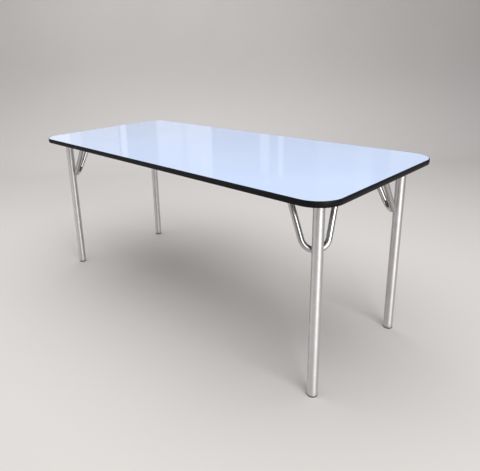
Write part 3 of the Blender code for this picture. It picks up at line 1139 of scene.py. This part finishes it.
def buildWelds(shape):
    chains = []
    for corner in cornerNames:
        chains += [(chain, True) for chain in plateWelds(shape, corner)]
        chains += [(chain, False) for chain in creviceWelds(shape, corner)]
    item = addObject("weldBeads", chainMesh("weldBeads", chains))
    grow(item, weldBeads, {
        "Bead Radius": shape["beadRadius"], "Pitch": shape["pitch"], "Ripple": shape["ripple"],
        "Step": shape["step"], "Sides": shape["sides"], "Material": materials["weld"]})
    fixNormals(item.data)
    asPiece(item, shape["smoothAngle"], "weld")


buildWelds(weldShape)
print("welds built")


# screws, set on points by geometry nodes

screwShape = {
    "headDiameter": 0.0080,
    "headHeight": 0.0024,
    "headSides": 40,
    "play": 0.0002,  # the head is so much narrower than the solid's
    "rim": 0.4,  # share of the head's height that is upright
    "shankDiameter": 0.0040,
    "shankSides": 16,
    "shankRings": 44,
    "threadHeight": 0.0005,
    "threadPitch": 0.0018,
    "point": 0.0035,
    "pointTip": 0.08,  # share of the shank's radius
    "recessSpan": 0.0042,
    "recessWidth": 0.0009,
    "recessDepth": 0.0012,
    "recessBar": 0.004,  # height of the bars that cut it
    # one bar a hair higher, because a boolean leaves stray edges where two floors lie in one plane
    "recessStep": 0.00005,
    "seed": 7,
    "seam": 0.00002,
    "smoothAngle": 35,
}


def screwHead(nodes, start, shape, distance, z):
    # a disc whose lower side is drawn down to a dome, with a cross cut into it
    headRadius = start.value("Head Diameter") / 2.0
    headHeight = start.value("Head Height")
    disc = nodes.add("GeometryNodeMeshCylinder", {
        "Vertices": shape["headSides"], "Side Segments": 3, "Fill Segments": 6,
        "Radius": headRadius, "Depth": headHeight * shape["rim"]}, fill_type="TRIANGLE_FAN")
    share = distance / headRadius
    dome = (1.0 - share * share) * headHeight * (shape["rim"] - 1.0)
    drop = nodes.add("ShaderNodeCombineXYZ", {
        "Z": z.below(0.0) * dome - headHeight * (shape["rim"] / 2)})
    head = nodes.add("GeometryNodeSetPosition", {"Geometry": disc.value("Mesh"), "Offset": drop})
    size = nodes.add("ShaderNodeCombineXYZ", {
        "X": start.value("Recess Span"), "Y": start.value("Recess Width"), "Z": shape["recessBar"]})
    bar = nodes.add("GeometryNodeMeshCube", {"Size": size})
    down = nodes.add("ShaderNodeCombineXYZ", {
        "Z": start.value("Recess Depth") - headHeight - shape["recessBar"] / 2})
    first = nodes.add("GeometryNodeTransform", {
        "Geometry": bar.value("Mesh"), "Translation": down})
    second = nodes.add("GeometryNodeTransform", {
        "Geometry": first, "Rotation": (0.0, 0.0, pi / 2),
        "Translation": (0.0, 0.0, shape["recessStep"])})
    cross = nodes.add("GeometryNodeMeshBoolean", {"Mesh 2": [first, second]}, operation="UNION")
    return nodes.add("GeometryNodeMeshBoolean", {
        "Mesh 1": head, "Mesh 2": cross.value("Mesh")}, operation="DIFFERENCE").value("Mesh")


def screwShank(nodes, start, shape, x, y, z):
    # a column whose radius follows the thread and narrows to the point
    length, diameter = start.value("Length"), start.value("Shank Diameter")
    column = nodes.add("GeometryNodeMeshCylinder", {
        "Vertices": shape["shankSides"], "Side Segments": shape["shankRings"], "Fill Segments": 1,
        "Radius": diameter / 2.0, "Depth": length}, fill_type="TRIANGLE_FAN")
    rise = nodes.add("ShaderNodeCombineXYZ", {"Z": length / 2.0})
    raised = nodes.add("GeometryNodeTransform", {
        "Geometry": column.value("Mesh"), "Translation": rise})
    turn = y.math("ARCTAN2", x) / (2 * pi)
    phase = (z / start.value("Thread Pitch") - turn).math("FRACT")
    ridge = (phase - 0.5).math("ABSOLUTE") * 2.0
    taper = ((length - z) / start.value("Point")).clamped()
    core = 1.0 - 2.0 * start.value("Thread Height") * ridge / diameter
    scale = core * (shape["pointTip"] + (1.0 - shape["pointTip"]) * taper)
    moved = nodes.add("ShaderNodeCombineXYZ", {"X": x * scale, "Y": y * scale, "Z": z})
    return nodes.add("GeometryNodeSetPosition", {"Geometry": raised, "Position": moved})


def plateScrews(nodes, start):
    shape = screwShape
    at = nodes.add("GeometryNodeInputPosition").value("Position")
    parts = nodes.add("ShaderNodeSeparateXYZ", {"Vector": at})
    x, y, z = parts.value("X"), parts.value("Y"), parts.value("Z")
    head = screwHead(nodes, start, shape, (x * x + y * y).math("SQRT"), z)
    shank = screwShank(nodes, start, shape, x, y, z)
    both = nodes.add("GeometryNodeJoinGeometry", {"Geometry": [head, shank]})
    spin = nodes.add("FunctionNodeRandomValue", {
        "Min_001": 0.0, "Max_001": 2 * pi, "Seed": shape["seed"]}, data_type="FLOAT")
    angle = nodes.add("ShaderNodeCombineXYZ", {"Z": spin.value("Value_001")})
    facing = nodes.add("FunctionNodeEulerToRotation", {"Euler": angle})
    return nodes.add("GeometryNodeInstanceOnPoints", {
        "Points": start.value("Geometry"), "Instance": both, "Rotation": facing})


def buildScrews(shape):
    low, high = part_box(screwNames[0])
    seat = low.z + shape["headHeight"]
    places = [([(x, y, seat)], False) for x, y in screwPlaces()]
    item = addObject("plateScrews", chainMesh("plateScrews", places))
    grow(item, plateScrews, {
        "Head Diameter": shape["headDiameter"] - shape["play"], "Head Height": shape["headHeight"],
        "Shank Diameter": shape["shankDiameter"], "Length": high.z - seat, "Point": shape["point"],
        "Thread Height": shape["threadHeight"], "Thread Pitch": shape["threadPitch"],
        "Recess Span": shape["recessSpan"], "Recess Width": shape["recessWidth"],
        "Recess Depth": shape["recessDepth"], "Material": materials["screw"]})
    fixNormals(item.data, shape["seam"])
    asPiece(item, shape["smoothAngle"], "screw", screwNames)


buildScrews(screwShape)
print("screws built")


# studio: a plain pale floor that curves up to a plain wall, and soft lights

studio = {
    "floorColor": (0.668, 0.646, 0.634),
    "wallColor": (0.545, 0.525, 0.515),
    "cloudColor": (0.69, 0.67, 0.66),
    "clouds": (0.8, 5.0, 0.6),
    "grain": (90.0, 3.0, 0.6),
    "grainDepth": 0.0004,
    "roughness": 0.75,
    "shine": 0.2,
    "halfWidth": 9.0,
    "front": -9.0,
    "wallAt": 3.6,  # from the table's middle, away from the camera
    "curve": 1.2,
    "curveSteps": 24,
    "wallHeight": 5.0,
    "smoothAngle": 60,
}

photoCamera = {
    "yaw": 47.43,  # degrees, turned to the left from +Y
    "pitch": 16.58,  # down
    "roll": -2.23,
    "place": (1.56389, -1.49253, 1.19445),
    "focalPixels": 461.70,
    "middle": (199.38, 187.47),  # pixel that the optical axis meets
    "frame": (480, 471),
    "sensor": 36.0,
    "clipStart": 0.02,
}


def buildCamera(view):
    yaw, pitch, roll = radians(view["yaw"]), radians(view["pitch"]), radians(view["roll"])
    forward = Vector((-sin(yaw) * cos(pitch), cos(yaw) * cos(pitch), -sin(pitch)))
    level = Vector((cos(yaw), sin(yaw), 0.0))
    above = level.cross(forward)
    right = cos(roll) * level + sin(roll) * above
    up = -sin(roll) * level + cos(roll) * above
    wide, tall = view["frame"]
    data = bpy.data.cameras.new("photoCamera")
    data.sensor_fit = "HORIZONTAL"
    data.sensor_width = view["sensor"]
    data.lens = view["focalPixels"] * data.sensor_width / wide
    data.shift_x = (wide / 2 - view["middle"][0]) / wide
    data.shift_y = (view["middle"][1] - tall / 2) / wide
    data.clip_start = view["clipStart"]
    camera = addObject("photoCamera", data)
    turn = Matrix((right, up, -forward)).transposed().to_4x4()
    camera.matrix_world = Matrix.Translation(view["place"]) @ turn
    bpy.context.scene.camera = camera


def makeStudioFloor(look):
    finish = Finish("paleStudioFloor", look)
    clouds = finish.noise("clouds")
    color = finish.mix(finish.height().between(0.0, 1.0), look["floorColor"], look["wallColor"])
    color = finish.mix(clouds.between(0.2, 0.8) * 0.2, color, look["cloudColor"])
    normal = finish.bump(finish.noise("grain"), look["grainDepth"], 0.4)
    return finish.surface(Base_Color=color, Roughness=look["roughness"] + clouds * 0.15,
                          Normal=normal, Specular_IOR_Level=look["shine"])


def studioDirections():
    # away from the camera, and along the wall to the right
    yaw = radians(photoCamera["yaw"])
    return Vector((-sin(yaw), cos(yaw), 0)), Vector((cos(yaw), sin(yaw), 0))


def buildStudio(look):
    away, along = studioDirections()
    wall, curve, steps = look["wallAt"], look["curve"], look["curveSteps"]
    profile = [(look["front"], 0.0), (wall - curve, 0.0)]
    for step in range(1, steps + 1):
        turn = pi / 2 * step / steps
        profile.append((wall - curve * (1 - sin(turn)), curve * (1 - cos(turn))))
    profile.append((wall, look["wallHeight"]))
    shape = bmesh.new()
    rows = []
    for distance, height in profile:
        middle = away * distance + upward * height
        rows.append([shape.verts.new(middle + along * side * look["halfWidth"]) for side in (-1, 1)])
    for first, second in zip(rows[:-1], rows[1:]):
        shape.faces.new([first[0], first[1], second[1], second[0]])
    sweep = addObject("studioSweep", asMesh(shape, "studioSweep"))
    smooth(sweep.data, look["smoothAngle"])
    sweep.data.materials.append(makeStudioFloor(look))


lights = [
    # name, place, aimed at, width, height, power, colour, spread in degrees
    ("overheadSoftbox", (-0.35, -0.1, 3.6), (-0.35, -0.1, 0.0), 5.2, 4.4, 124.0, (1.0, 0.995, 0.99)),
    ("rightSoftbox", (4.40, -1.46, 1.83), (0.8, -0.3, 0.4), 3.0, 3.9, 95.0, (1.0, 0.99, 0.98), 140),
    ("leftFill", (-1.9, -3.2, 0.9), (0.3, 0.0, 0.3), 2.6, 1.6, 13.0, (0.99, 0.99, 1.0)),
]

glow = {
    "away": 3.2,
    "apart": 0.01,  # each panel stands this much nearer than the one before it
    "bottom": 0.9,
    "top": 2.4,
}

# faint upright panels far behind the table, seen only as pale bars mirrored in its glossy top:
# left and right side along the wall and brightness, which adds up where they overlap, and a bottom
# and a top where these differ from the glow's
glowPanels = [
    (-2.30, -0.505, 0.04), (-2.30, -0.96, 0.14), (-2.30, -1.40, 0.14), (-2.30, -1.53, 0.20),
    (-0.932, -0.865, 0.29), (-0.505, 0.125, 0.17), (-0.505, -0.225, 0.06), (-0.155, 0.125, 0.08),
    (0.685, 0.79, 0.18, 0.9, 1.75), (0.895, 0.955, 0.22, 0.9, 1.80),
    (1.35, 3.20, 0.09), (1.80, 3.20, 0.07), (2.20, 3.20, 0.13),
    (0.0, 2.00, 0.07, 1.5, 3.0), (0.0, 2.00, 0.08, 1.75, 3.0),
]

air = {
    "color": (0.80, 0.80, 0.82),
    "strength": 0.38,
    "seen": 0.62,  # strength behind the floor and wall, as the camera sees it
}


def addLight(name, place, target, width, height, power, color=(1.0, 1.0, 1.0), spread=180):
    data = bpy.data.lights.new(name, "AREA")
    data.shape = "RECTANGLE"
    data.size = width
    data.size_y = height
    data.energy = power
    data.spread = radians(spread)
    data.color = color
    lamp = addObject(name, data)
    lamp.location = place
    lamp.visible_camera = False
    lamp.rotation_euler = (Vector(target) - Vector(place)).to_track_quat("-Z", "Y").to_euler()


def buildLights():
    for light in lights:
        addLight(*light)
    away, along = studioDirections()
    for index, (left, right, brightness, *ends) in enumerate(glowPanels):
        bottom, top = ends or (glow["bottom"], glow["top"])
        place = away * (glow["away"] - glow["apart"] * index) + along * (left + right) / 2
        place.z = (bottom + top) / 2
        width, height = right - left, top - bottom
        power = brightness * pi * width * height
        addLight("glowPanel%d" % (index + 1), place, place - away, width, height, power)


def buildAir(look):
    world = bpy.data.worlds.new("studioAir")
    bpy.context.scene.world = world
    world.use_nodes = True
    nodes = NodeTree(world.node_tree)
    seen = nodes.add("ShaderNodeLightPath").value("Is Camera Ray")
    strength = look["strength"] + seen * (look["seen"] - look["strength"])
    sky = nodes.add("ShaderNodeBackground", {"Color": asColor(look["color"]), "Strength": strength})
    nodes.add("ShaderNodeOutputWorld", {"Surface": sky})


buildCamera(photoCamera)
buildStudio(studio)
buildLights()
buildAir(air)
bpy.context.scene.view_settings.view_transform = "Standard"
print("studio built")
